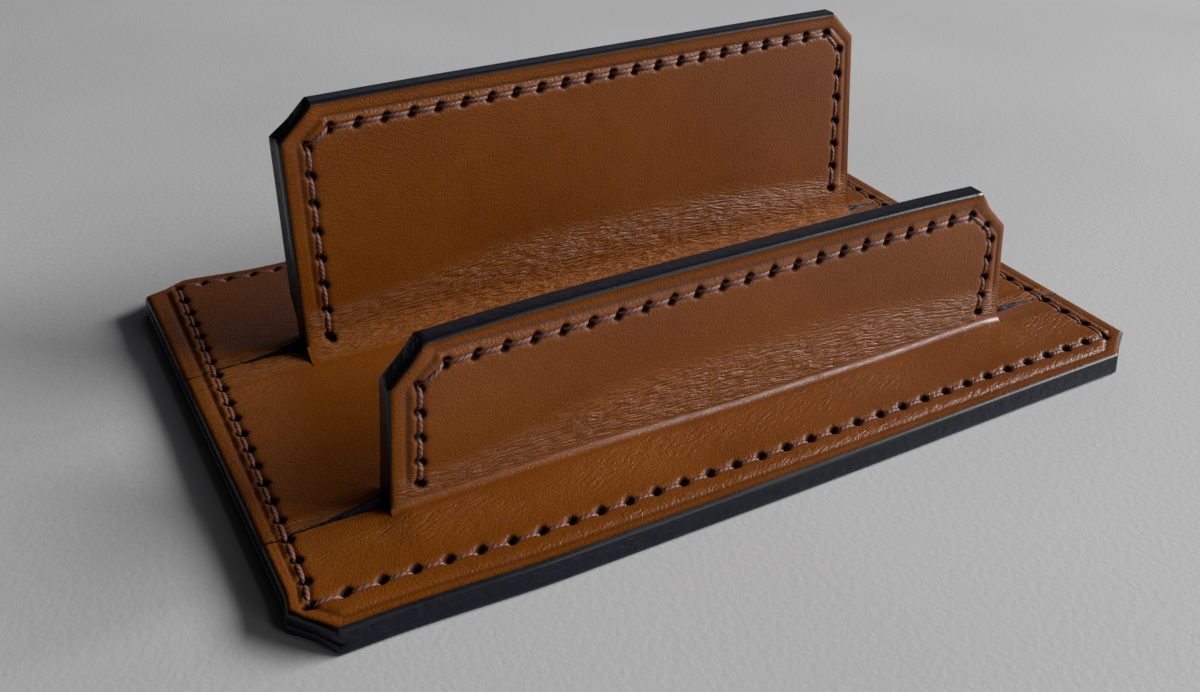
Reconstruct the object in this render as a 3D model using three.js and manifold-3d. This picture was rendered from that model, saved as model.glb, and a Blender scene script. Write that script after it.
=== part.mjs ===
// Business card holder in stitched leather.
//
// Three folded leather facings stand back to back, so that their walls make two low uprights with a
// slot for the cards between them. Their flat feet cover a base panel. One waxed thread holds each
// upright together and a third runs round the base, all saddle stitched through slanted holes.
//
// Millimetres, +Z up. +X runs along the front edge and +Y to the back. The origin is the middle of
// the underside, on the surface that the holder stands on.

import * as THREE from 'three';
import { mergeVertices } from 'three/addons/utils/BufferGeometryUtils.js';
import Module from 'manifold-3d';

const wasm = await Module();
wasm.setup();

// Base: a panel underneath, the flat feet of the facings on top
const baseWidth = 117;
const baseDepth = 78.4;
const baseCornerCut = 4.4;
const panelThickness = 1.5;
const facingThickness = 1.8;

// Fold at the foot of each wall
const foldRadius = 1.2;
const foldSteps = 6;
const footSlitWidth = 0.3;

// Both uprights: side edges spread a little towards the foot
const uprightWidth = 87;
const uprightFootWidth = 89;

// Rear upright
const rearUprightY = 11.9;
const rearUprightHeight = 37.9;
const rearLeftCut = 4;
const rearRightCut = 3.8;

// Front upright
const frontUprightY = -23.9;
const frontUprightHeight = 23.4;
const frontLeftCut = 4.2;
const frontRightCut = 5;

// Seams: distance from the leather's edge, stitch length, and height of the first and last holes
const baseSeamMargin = 3.4;
const sideSeamMargin = 3.2;
const cutSeamMargin = 3.1;
const rearTopSeamMargin = 2.9;
const frontTopSeamMargin = 2.1;
const stitchPitch = 3.56;
const rearSidePitch = 3.9;
const frontSidePitch = 3.4;
const rearLeftSeamFoot = 2;
const rearRightSeamFoot = 5.9;
const frontSeamFoot = 2.2;

// Awl holes: slits turned across the seam
const holeLength = 1.5;
const holeWidth = 0.7;
const holeSlantShare = 1 / 8;

// Thread: a strand squeezed in its hole and full in the middle of a stitch
const strandSize = 0.4;
const strandOffset = 0.4;
const stitchWidth = 0.8;
const stitchHeight = 0.5;
const stitchRise = 0.15;
const threadClearance = 0.05;
const tailLength = 0.6;

// Groove under the panel that keeps the thread off the table
const grooveWidth = 1.6;
const grooveDepth = 0.7;

// Overrun of cutting bodies, and overlap of bodies that are joined
const overrun = 1;

const baseThickness = panelThickness + facingThickness;
const bendRadius = foldRadius + facingThickness;
const fullTurn = 2 * Math.PI;
const quarterTurn = fullTurn / 4;

const uprights = {
  rear: {
    y: rearUprightY,
    height: rearUprightHeight,
    leftCut: rearLeftCut,
    rightCut: rearRightCut,
    topMargin: rearTopSeamMargin,
    sidePitch: rearSidePitch,
    leftFoot: rearLeftSeamFoot,
    rightFoot: rearRightSeamFoot,
  },
  front: {
    y: frontUprightY,
    height: frontUprightHeight,
    leftCut: frontLeftCut,
    rightCut: frontRightCut,
    topMargin: frontTopSeamMargin,
    sidePitch: frontSidePitch,
    leftFoot: frontSeamFoot,
    rightFoot: frontSeamFoot,
  },
};

const leather = { color: 0x8c5022, roughness: 0.5, metalness: 0 };
const liningLeather = { color: 0x6e421f, roughness: 0.7, metalness: 0 };
const waxedThread = { color: 0x4b2d24, roughness: 0.6, metalness: 0 };

// Solids: three.js geometry in, boolean work between, three.js geometry out

function solidFrom(geometry) {
  const bare = new THREE.BufferGeometry();
  bare.setAttribute('position', geometry.getAttribute('position').clone());
  if (geometry.index) bare.setIndex(geometry.index.clone());
  const merged = mergeVertices(bare);
  return new wasm.Manifold(new wasm.Mesh({
    numProp: 3,
    vertProperties: new Float32Array(merged.getAttribute('position').array),
    triVerts: new Uint32Array(merged.index.array),
  }));
}

function geometryFrom(solid) {
  const mesh = solid.getMesh();
  const geometry = new THREE.BufferGeometry();
  geometry.setAttribute('position', new THREE.BufferAttribute(mesh.vertProperties, mesh.numProp));
  geometry.setIndex(new THREE.BufferAttribute(mesh.triVerts, 1));
  geometry.computeVertexNormals();
  return geometry;
}

function extrude(shape, depth, curveSegments = 1) {
  return new THREE.ExtrudeGeometry(shape, { depth, curveSegments, bevelEnabled: false });
}

function boxBetween(low, high) {
  const size = new THREE.Vector3().subVectors(high, low);
  const centre = new THREE.Vector3().addVectors(low, high).multiplyScalar(0.5);
  const box = new THREE.BoxGeometry(size.x, size.y, size.z);
  return solidFrom(box.translate(centre.x, centre.y, centre.z));
}

function pieceMesh(name, geometry, look) {
  const mesh = new THREE.Mesh(geometry, new THREE.MeshStandardMaterial(look));
  mesh.name = name;
  return mesh;
}

// Outlines

function planOutline() {
  const x = baseWidth / 2;
  const y = baseDepth / 2;
  const cut = baseCornerCut;
  return new THREE.Shape([
    new THREE.Vector2(-x + cut, -y),
    new THREE.Vector2(x - cut, -y),
    new THREE.Vector2(x, -y + cut),
    new THREE.Vector2(x, y - cut),
    new THREE.Vector2(x - cut, y),
    new THREE.Vector2(-x + cut, y),
    new THREE.Vector2(-x, y - cut),
    new THREE.Vector2(-x, -y + cut),
  ]);
}

// Corners of an upright seen from the front, from the left foot over the top to the right foot
function uprightCorners({ height, leftCut, rightCut }) {
  const foot = uprightFootWidth / 2;
  const side = uprightWidth / 2;
  return [
    new THREE.Vector2(-foot, baseThickness),
    new THREE.Vector2(-side, height - leftCut),
    new THREE.Vector2(-side + leftCut, height),
    new THREE.Vector2(side - rightCut, height),
    new THREE.Vector2(side, height - rightCut),
    new THREE.Vector2(foot, baseThickness),
  ];
}

// Everything of a facing that may show from the front: the upright on top of the whole base
function frontView(upright) {
  const edge = baseWidth / 2;
  const outline = new THREE.Shape([
    new THREE.Vector2(-edge, 0),
    new THREE.Vector2(-edge, baseThickness),
    ...uprightCorners(upright),
    new THREE.Vector2(edge, baseThickness),
    new THREE.Vector2(edge, 0),
  ]);
  const depth = baseDepth + 2 * overrun;
  return solidFrom(extrude(outline, depth).rotateX(quarterTurn).translate(0, depth / 2, 0));
}

// Section of a folded facing: the wall stands at 0 and the foot runs out to reach
function foldSection(height, reach) {
  const foldTop = panelThickness + bendRadius;
  const section = new THREE.Shape();
  section.moveTo(0, foldTop);
  section.absarc(bendRadius, foldTop, bendRadius, 2 * quarterTurn, 3 * quarterTurn, false);
  section.lineTo(reach, panelThickness);
  section.lineTo(reach, baseThickness);
  section.lineTo(bendRadius, baseThickness);
  section.absarc(bendRadius, foldTop, foldRadius, 3 * quarterTurn, 2 * quarterTurn, true);
  section.lineTo(facingThickness, height);
  section.lineTo(0, height);
  return section;
}

// One wall with its foot. side is 1 where the foot runs to the back and -1 where it runs forward.
function foldedWall(upright, side, reach) {
  const frame = new THREE.Matrix4().makeBasis(
    new THREE.Vector3(0, side, 0),
    new THREE.Vector3(0, 0, 1),
    new THREE.Vector3(side, 0, 0),
  ).setPosition(-side * baseWidth / 2, upright.y, 0);
  const section = foldSection(upright.height, reach);
  const folded = extrude(section, baseWidth, foldSteps).applyMatrix4(frame);
  let wall = solidFrom(folded).intersect(frontView(upright));

  for (const end of [-1, 1]) {
    wall = wall.add(shoulder(upright, side, end)).subtract(footSlit(upright, side, end));
  }
  return wall;
}

function boxAcross(upright, side, end, xNear, xFar, near, far, bottom, top) {
  const xs = [end * xNear, end * xFar].sort((a, b) => a - b);
  const ys = [upright.y + side * near, upright.y + side * far].sort((a, b) => a - b);
  return boxBetween(new THREE.Vector3(xs[0], ys[0], bottom), new THREE.Vector3(xs[1], ys[1], top));
}

// The foot's flat leather beside the fold, which reaches to the seam line under the upright
function shoulder(upright, side, end) {
  const near = uprightFootWidth / 2;
  return boxAcross(upright, side, end, near, baseWidth / 2, 0, bendRadius + overrun,
    panelThickness, baseThickness);
}

// The short cut that frees the fold from the shoulder
function footSlit(upright, side, end) {
  const near = uprightFootWidth / 2;
  return boxAcross(upright, side, end, near, near + footSlitWidth, -overrun, bendRadius,
    panelThickness - overrun, baseThickness + overrun);
}

// Seams: a path in the plane of the leather, then holes along each of its legs

function insetCorners(corners, margins) {
  const lines = margins.map((margin, i) => {
    const along = new THREE.Vector2().subVectors(corners[i + 1], corners[i]).normalize();
    const inward = new THREE.Vector2(along.y, -along.x);
    return { point: corners[i].clone().addScaledVector(inward, margin), along };
  });
  const meeting = (a, b) => {
    const gap = new THREE.Vector2().subVectors(b.point, a.point);
    const reach = gap.cross(b.along) / a.along.cross(b.along);
    return a.point.clone().addScaledVector(a.along, reach);
  };
  const atHeight = (line, height) =>
    line.point.clone().addScaledVector(line.along, (height - line.point.y) / line.along.y);
  return { lines, atHeight, turns: lines.slice(1).map((line, i) => meeting(lines[i], line)) };
}

function uprightSeamPath(upright) {
  const { topMargin, leftFoot, rightFoot, sidePitch } = upright;
  const margins = [sideSeamMargin, cutSeamMargin, topMargin, cutSeamMargin, sideSeamMargin];
  const { lines, atHeight, turns } = insetCorners(uprightCorners(upright), margins);
  const points = [
    atHeight(lines[0], baseThickness + leftFoot),
    ...turns,
    atHeight(lines[lines.length - 1], baseThickness + rightFoot),
  ];
  return { points, pitches: [sidePitch, stitchPitch, stitchPitch, stitchPitch, sidePitch] };
}

function baseSeamPath() {
  const x = baseWidth / 2 - baseSeamMargin;
  const y = baseDepth / 2 - baseSeamMargin;
  const points = [[-x, -y], [x, -y], [x, y], [-x, y], [-x, -y]].map((p) => new THREE.Vector2(...p));
  return { points, pitches: points.slice(1).map(() => stitchPitch) };
}

// Holes at equal steps on every leg. A turn has one hole, set to the mean of its two legs.
function seamHoles({ points, pitches }) {
  const legs = pitches.map((pitch, i) => {
    const along = new THREE.Vector2().subVectors(points[i + 1], points[i]);
    const count = Math.max(1, Math.round(along.length() / pitch));
    return { start: points[i], along, count };
  });
  const holes = [];
  legs.forEach(({ start, along, count }, i) => {
    for (let k = 0; k < count; k += 1) {
      const before = k === 0 && i > 0 ? legs[i - 1].along : along;
      holes.push(holeAt(start.clone().addScaledVector(along, k / count), before, along));
    }
  });
  const last = legs[legs.length - 1];
  holes.push(holeAt(points[points.length - 1], last.along, last.along));
  if (points[0].distanceTo(points[points.length - 1]) === 0) {
    holes[0] = holeAt(points[0], last.along, legs[0].along);
    holes[holes.length - 1] = holes[0];
  }
  return holes;
}

function holeAt(place, before, after) {
  const heading = before.clone().normalize().add(after.clone().normalize()).normalize();
  const slit = heading.clone().rotateAround(new THREE.Vector2(), holeSlantShare * fullTurn);
  return { place, heading, slit };
}

// A seam's own frame has its face in the plane z = 0 and looks out along +Z. thickness is the
// leather's, and backLevel is where the stitches of the far side lie.
const seams = {
  base: {
    holes: seamHoles(baseSeamPath()),
    thickness: baseThickness,
    backLevel: grooveDepth - baseThickness,
    frame: new THREE.Matrix4().makeTranslation(0, 0, baseThickness),
  },
};
for (const [name, upright] of Object.entries(uprights)) {
  seams[name] = {
    holes: seamHoles(uprightSeamPath(upright)),
    thickness: 2 * facingThickness,
    backLevel: -2 * facingThickness,
    frame: new THREE.Matrix4().makeRotationX(quarterTurn)
      .setPosition(0, upright.y - facingThickness, 0),
  };
}

// All awl holes of a seam as one cutting body
function awlHoles({ holes, thickness, frame }) {
  const unique = holes.filter((hole, i) => holes.indexOf(hole) === i);
  return unique.map(({ place, slit }) => {
    const blade = new THREE.BoxGeometry(holeLength, holeWidth, thickness + 2 * overrun);
    blade.rotateZ(slit.angle()).translate(place.x, place.y, -thickness / 2);
    return solidFrom(blade.applyMatrix4(frame));
  }).reduce((all, blade) => all.add(blade));
}

// Thread: both ends of one length work along the seam, one on each face, and swap at every hole

// Stations of one strand. Its first stitch lies on the face if leadsOnFace is true.
function strandStations({ holes, backLevel }, leadsOnFace) {
  const stations = [];
  const levels = {
    face: threadClearance + strandSize / 2,
    faceMiddle: threadClearance + stitchHeight / 2 + stitchRise,
    back: backLevel - threadClearance - strandSize / 2,
  };
  for (let i = 0; i + 1 < holes.length; i += 1) {
    const onFace = (i % 2 === 0) === leadsOnFace;
    const from = onFace ? -strandOffset : strandOffset;
    const level = onFace ? levels.face : levels.back;
    const start = holes[i].place.clone().addScaledVector(holes[i].slit, from);
    const end = holes[i + 1].place.clone().addScaledVector(holes[i + 1].slit, -from);
    stations.push(station(start, level, holes[i].heading, strandSize, strandSize));
    if (onFace) {
      const middle = start.clone().lerp(end, 0.5);
      const heading = end.clone().sub(start).normalize();
      stations.push(station(middle, levels.faceMiddle, heading, stitchWidth, stitchHeight));
    }
    stations.push(station(end, level, holes[i + 1].heading, strandSize, strandSize));
  }
  const last = stations[stations.length - 1];
  const inward = last.centre.z > 0 ? -1 : 1;
  const tail = new THREE.Vector3(0, 0, inward * (tailLength + strandSize));
  stations.push({ ...last, centre: last.centre.clone().add(tail) });
  return stations;
}

function station(place, level, heading, width, height) {
  return {
    centre: new THREE.Vector3(place.x, place.y, level),
    across: new THREE.Vector3(-heading.y, heading.x, 0),
    width,
    height,
  };
}

// A closed tube with a rectangular section at every station, mitred where the path turns
function sweptTube(stations) {
  const positions = [];
  const triangles = [];
  const corners = [[1, 1], [-1, 1], [-1, -1], [1, -1]];
  const sides = corners.length;
  stations.forEach(({ centre, across, width, height }, i) => {
    const before = stations[Math.max(i - 1, 0)].centre;
    const after = stations[Math.min(i + 1, stations.length - 1)].centre;
    const arriving = (i > 0 ? centre.clone().sub(before) : after.clone().sub(centre)).normalize();
    const leaving = (after === centre ? arriving.clone() : after.clone().sub(centre)).normalize();
    const tangent = arriving.clone().add(leaving).normalize();
    const mitre = 1 / arriving.dot(tangent);
    const wide = across.clone().addScaledVector(tangent, -across.dot(tangent)).normalize();
    const high = new THREE.Vector3().crossVectors(tangent, wide).multiplyScalar(mitre);
    for (const [a, b] of corners) {
      const corner = centre.clone().addScaledVector(wide, a * width / 2);
      positions.push(...corner.addScaledVector(high, b * height / 2));
    }
    if (i === 0) return;
    const ring = sides * i;
    for (let k = 0; k < sides; k += 1) {
      const next = (k + 1) % sides;
      triangles.push(ring - sides + k, ring - sides + next, ring + next);
      triangles.push(ring - sides + k, ring + next, ring + k);
    }
  });
  const end = sides * (stations.length - 1);
  for (let k = 1; k + 1 < sides; k += 1) {
    triangles.push(0, k + 1, k);
    triangles.push(end, end + k, end + k + 1);
  }
  const geometry = new THREE.BufferGeometry();
  geometry.setAttribute('position', new THREE.Float32BufferAttribute(positions, 3));
  geometry.setIndex(triangles);
  geometry.computeVertexNormals();
  return geometry;
}

function threadMesh(name, seam) {
  const first = strandStations(seam, true);
  const second = strandStations(seam, false);
  const mesh = pieceMesh(name, sweptTube([...first.reverse(), ...second]), waxedThread);
  mesh.applyMatrix4(seam.frame);
  return mesh;
}

// Leather pieces

function cutFacing(name, walls, crossedSeams) {
  const depth = Math.max(rearUprightHeight, frontUprightHeight) + 2 * overrun;
  const plan = solidFrom(extrude(planOutline(), depth).translate(0, 0, -overrun));
  let facing = walls.reduce((all, wall) => all.add(wall)).intersect(plan);
  for (const seam of crossedSeams) facing = facing.subtract(awlHoles(seam));
  return pieceMesh(name, geometryFrom(facing), leather);
}

function rearFacing() {
  const reach = baseDepth / 2 - rearUprightY;
  return cutFacing('rear_facing', [foldedWall(uprights.rear, 1, reach)], [seams.rear, seams.base]);
}

// The middle facing lines the card slot: floor, rear wall and front wall in one strip of leather
function middleFacing() {
  const reach = (rearUprightY - frontUprightY + overrun) / 2;
  const walls = [foldedWall(uprights.rear, -1, reach), foldedWall(uprights.front, 1, reach)];
  return cutFacing('middle_facing', walls, [seams.rear, seams.front, seams.base]);
}

function frontFacing() {
  const reach = baseDepth / 2 + frontUprightY;
  const walls = [foldedWall(uprights.front, -1, reach)];
  return cutFacing('front_facing', walls, [seams.front, seams.base]);
}

function stitchGroove() {
  const ring = (offset) => {
    const x = baseWidth / 2 - baseSeamMargin + offset;
    const y = baseDepth / 2 - baseSeamMargin + offset;
    return [[-x, -y], [x, -y], [x, y], [-x, y]].map((p) => new THREE.Vector2(...p));
  };
  const outline = new THREE.Shape(ring(grooveWidth / 2));
  outline.holes.push(new THREE.Path(ring(-grooveWidth / 2)));
  return solidFrom(extrude(outline, grooveDepth + overrun).translate(0, 0, -overrun));
}

function basePanel() {
  const panel = solidFrom(extrude(planOutline(), panelThickness))
    .subtract(awlHoles(seams.base))
    .subtract(stitchGroove());
  return pieceMesh('base_panel', geometryFrom(panel), liningLeather);
}

const group = new THREE.Group();
group.name = 'business_card_holder';
group.add(rearFacing(), middleFacing(), frontFacing(), basePanel());
group.add(threadMesh('rear_upright_thread', seams.rear));
group.add(threadMesh('front_upright_thread', seams.front));
group.add(threadMesh('base_thread', seams.base));

export default group;
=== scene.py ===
# %% [markdown]
# Business card holder in stitched leather.
#
# The real thing is three strips of vegetable tanned leather, folded, glued back to back and sewn to a
# leather base. Nothing on it is moulded: every form comes from a flat sheet that was cut, creased,
# pricked with an awl, folded and pulled together by thread. The scene is built in the same order. Each
# strip starts as its flat pattern, gets its edges, crease, stitch marks and wrinkles while it lies flat,
# and is folded last. That way one UV map, the flat pattern itself, carries the grain round the folds.

# %% Frame and measures
import math

import bmesh
import bpy
import numpy as np
from mathutils import Matrix, Vector, noise


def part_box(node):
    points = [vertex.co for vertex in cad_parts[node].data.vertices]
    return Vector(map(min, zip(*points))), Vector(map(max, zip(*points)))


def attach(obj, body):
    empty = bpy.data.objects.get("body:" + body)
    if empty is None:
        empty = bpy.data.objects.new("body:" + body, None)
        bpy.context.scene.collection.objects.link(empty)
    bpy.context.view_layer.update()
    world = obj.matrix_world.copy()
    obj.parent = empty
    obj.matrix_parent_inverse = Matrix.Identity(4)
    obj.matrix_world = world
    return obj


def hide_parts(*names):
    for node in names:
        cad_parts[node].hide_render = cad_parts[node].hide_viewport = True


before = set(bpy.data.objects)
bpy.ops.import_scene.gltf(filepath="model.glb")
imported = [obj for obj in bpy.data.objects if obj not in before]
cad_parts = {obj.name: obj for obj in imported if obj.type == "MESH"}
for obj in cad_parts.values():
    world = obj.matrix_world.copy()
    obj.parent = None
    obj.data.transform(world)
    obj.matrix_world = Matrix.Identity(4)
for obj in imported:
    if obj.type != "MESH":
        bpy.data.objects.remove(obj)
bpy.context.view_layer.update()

MM = 0.001
panel_low, panel_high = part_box("base_panel")
_, front_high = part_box("front_facing")
rear_low, rear_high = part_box("rear_facing")

base_width = (panel_high.x - panel_low.x) / MM
base_depth = (panel_high.y - panel_low.y) / MM
panel_thickness = panel_high.z / MM
facing_thickness = 1.8
base_top = panel_thickness + facing_thickness
slit_width = 0.14
print("base", round(base_width, 2), "x", round(base_depth, 2), "top at", round(base_top, 2))

# %% [markdown]
# The two walls differ in height, place, corner cuts and seam margins. Only what differs is written per
# wall. The heights and places come from the CAD frame, so the looks can't drift away from it. Each wall
# has a leather in front (1), which bends up towards +s, and one behind (-1). How tightly each was folded
# differs too: sharply at the front of the low wall, and with a generous radius inside the card slot. A
# pair of numbers is for the left and the right. A seam is given by the corners of its path on the wall's
# face, because the hand that pricked it didn't keep quite the same distance from every edge.
#
# A list with one value per edge follows the outline. creases says how far in from the edge the pressed
# strip ends, and valleys how deep it was pressed. wrinkled is how far up the wall the wrinkles reach,
# and fine how far from the fold the mesh gets its smallest cells. All sizes here are in millimetres.

# %% The two walls
WALLS = {
    "front": {
        "y": front_high.y / MM,
        "height": front_high.z / MM,
        "feet": (44.5, 45.1),
        "sides": (43.4, 43.4),
        "cuts": ((4.2, 4.2), (5.0, 5.0)),
        "crown": 1.15,
        "radius": {1: 0.85, -1: 1.2},
        "lift": (1.8, 1.1),
        "seam": [(-40.7, 5.7), (-39.9, 18.6), (-36.8, 20.75), (36.8, 21.2), (39.7, 19.1), (40.9, 17.0),
                 (41.1, 5.4)],
        "side_pitch": 3.2,
        "creases": (2.1, 2.0, 1.3, 1.5, 1.3),
        "valleys": (0.2, 0.22, 0.4, 0.2, 0.15),
        "wrinkled": 9.5,
        "fine": {1: 6.0, -1: 0.0},
    },
    "rear": {
        "y": rear_low.y / MM,
        "height": rear_high.z / MM,
        "feet": (43.4, 47.2),
        "sides": (43.5, 44.2),
        "cuts": ((4.5, 4.3), (3.8, 3.8)),
        "crown": 0.25,
        "radius": {1: 3.3, -1: 1.2},
        "lift": (1.6, 1.0),
        "seam": [(-40.0, 5.3), (-40.0, 32.5), (-37.0, 34.5), (38.9, 35.2), (41.6, 32.5), (43.1, 9.2)],
        "side_pitch": 3.9,
        "creases": (2.3, 2.2, 2.0, 1.6, 1.4),
        "valleys": (0.17, 0.28, 0.42, 0.27, 0.18),
        "wrinkled": 8.5,
        "fine": {1: 5.0, -1: 6.0},
    },
}
base_seam_corners = [(-55.8, -34.9), (55.3, -35.15), (55.3, 35.6), (-55.0, 35.6)]
base_creases = (1.2, 1.3, 1.6, 1.5, 1.6, 1.4, 1.6, 1.8)
base_valleys = (0.24, 0.2, 0.2, 0.2, 0.24, 0.24, 0.16, 0.26)
rear_trim = 1.3
stitch_pitch = 3.56
nick_half = 0.85
for name, wall in WALLS.items():
    print(name, "wall at y", round(wall["y"], 2), "height", round(wall["height"], 2))

# %% [markdown]
# A camera is fixed by where it stands, where it looks and its lens. These values give the photograph's
# viewing angle: from the front left, looking down by almost thirty degrees. The shift is small and only
# takes up the crop of the picture.

# %% Camera
camera_place = Vector((-73.22, -126.19, 90.62)) * MM
camera_yaw = math.radians(27.588)
camera_pitch = math.radians(29.529)
camera_roll = math.radians(0.095)

camera_data = bpy.data.cameras.new("camera")
camera_data.sensor_width = 36
camera_data.lens = 35.949
camera_data.shift_x = 0.01538
camera_data.shift_y = -0.05266
camera_data.clip_start = 0.01
camera = bpy.data.objects.new("camera", camera_data)
turn = (Matrix.Rotation(-camera_yaw, 4, "Z") @ Matrix.Rotation(math.pi / 2 - camera_pitch, 4, "X")
        @ Matrix.Rotation(camera_roll, 4, "Z"))
camera.matrix_world = Matrix.Translation(camera_place) @ turn
bpy.context.scene.collection.objects.link(camera)
bpy.context.scene.camera = camera
bpy.context.scene.view_settings.view_transform = "Standard"
print("camera looks from", tuple(round(v, 3) for v in camera_place))

# %% [markdown]
# Colours are written as sRGB hex, the way a colour picker shows them, and the shader needs linear
# values. One function turns them. Two more add any node and fill its sockets, so that a material reads
# as a list of what its surface is made of. The other helpers each add one node that comes up often.

# %% Colour and node helpers
def linear(hex_colour):
    channels = [int(hex_colour[i:i + 2], 16) / 255 for i in (1, 3, 5)]
    bent = [c / 12.92 if c <= 0.04045 else ((c + 0.055) / 1.055) ** 2.4 for c in channels]
    return (*bent, 1.0)


def plug(tree, node, **sockets):
    """Fills a node's inputs, by name or as i and a number. Another node's output is linked."""
    for key, value in sockets.items():
        by_number = key[0] == "i" and key[1:].isdigit()
        socket = node.inputs[int(key[1:]) if by_number else key.replace("_", " ")]
        if isinstance(value, bpy.types.NodeSocket):
            tree.links.new(value, socket)
        else:
            socket.default_value = value


def add(tree, kind, settings=None, **sockets):
    node = tree.nodes.new("ShaderNode" + kind)
    for key, value in (settings or {}).items():
        setattr(node, key, value)
    plug(tree, node, **sockets)
    return node


def new_material(name):
    material = bpy.data.materials.new(name)
    material.use_nodes = True
    tree = material.node_tree
    tree.nodes.clear()
    shader = add(tree, "BsdfPrincipled")
    add(tree, "OutputMaterial", Surface=shader.outputs[0])
    return material, tree, shader


def ramp(tree, value, stops):
    """A colour ramp. stops are pairs of position and hex colour."""
    node = add(tree, "ValToRGB", Fac=value)
    elements = node.color_ramp.elements
    while len(elements) < len(stops):
        elements.new(0.5)
    for element, (place, colour) in zip(elements, stops):
        element.position = place
        element.color = linear(colour)
    return node.outputs["Color"]


def math_node(tree, operation, a, b=0.0, clamp=False):
    return add(tree, "Math", {"operation": operation, "use_clamp": clamp}, i0=a, i1=b).outputs[0]


def between(tree, value, low, high, start=0.0, end=1.0):
    """Maps value from low..high to start..end, clamped."""
    return add(tree, "MapRange", {"clamp": True}, Value=value, From_Min=low, From_Max=high, To_Min=start,
               To_Max=end).outputs[0]


def blend(tree, factor, first, second, mode="MIX"):
    node = add(tree, "Mix", {"data_type": "RGBA", "blend_type": mode}, i0=factor, i6=first, i7=second)
    return node.outputs[2]


print("helpers ready")

# %% [markdown]
# The facings are vegetable tanned leather, dyed tan brown and waxed. Dye soaks in unevenly, so the brown
# drifts over centimetres. The wax leaves a soft gloss that a fine grain breaks up. Where the leather was
# bent its grain layer buckles into fine wrinkles along the fold. The colour there is lighter, partly the
# leather's own lightening where it was bent and partly painted sheen, and the furrows between the
# wrinkles are darkened as painted shade. The creases are darker, and the awl holes and the leather round
# them are darkened as painted shade with some dye and wax. The tight front fold was rubbed smooth, so it
# has a polished coat, and the wide fold in the slot stays dull. The pattern runs on the flat sheet's own
# UV map, in millimetres, and the shaping below stores where each of these things is as attributes of the
# mesh.

# %% Tan leather
UV_SPAN = 120.0


def flat_millimetres(tree):
    """The flat pattern's own coordinates in millimetres."""
    uv = add(tree, "UVMap", {"uv_map": "flat"})
    scale = add(tree, "Mapping", Vector=uv.outputs[0], Scale=(UV_SPAN, UV_SPAN, 1.0))
    return scale.outputs[0]


def attribute(tree, name):
    return add(tree, "Attribute", {"attribute_name": name}).outputs["Fac"]


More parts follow.
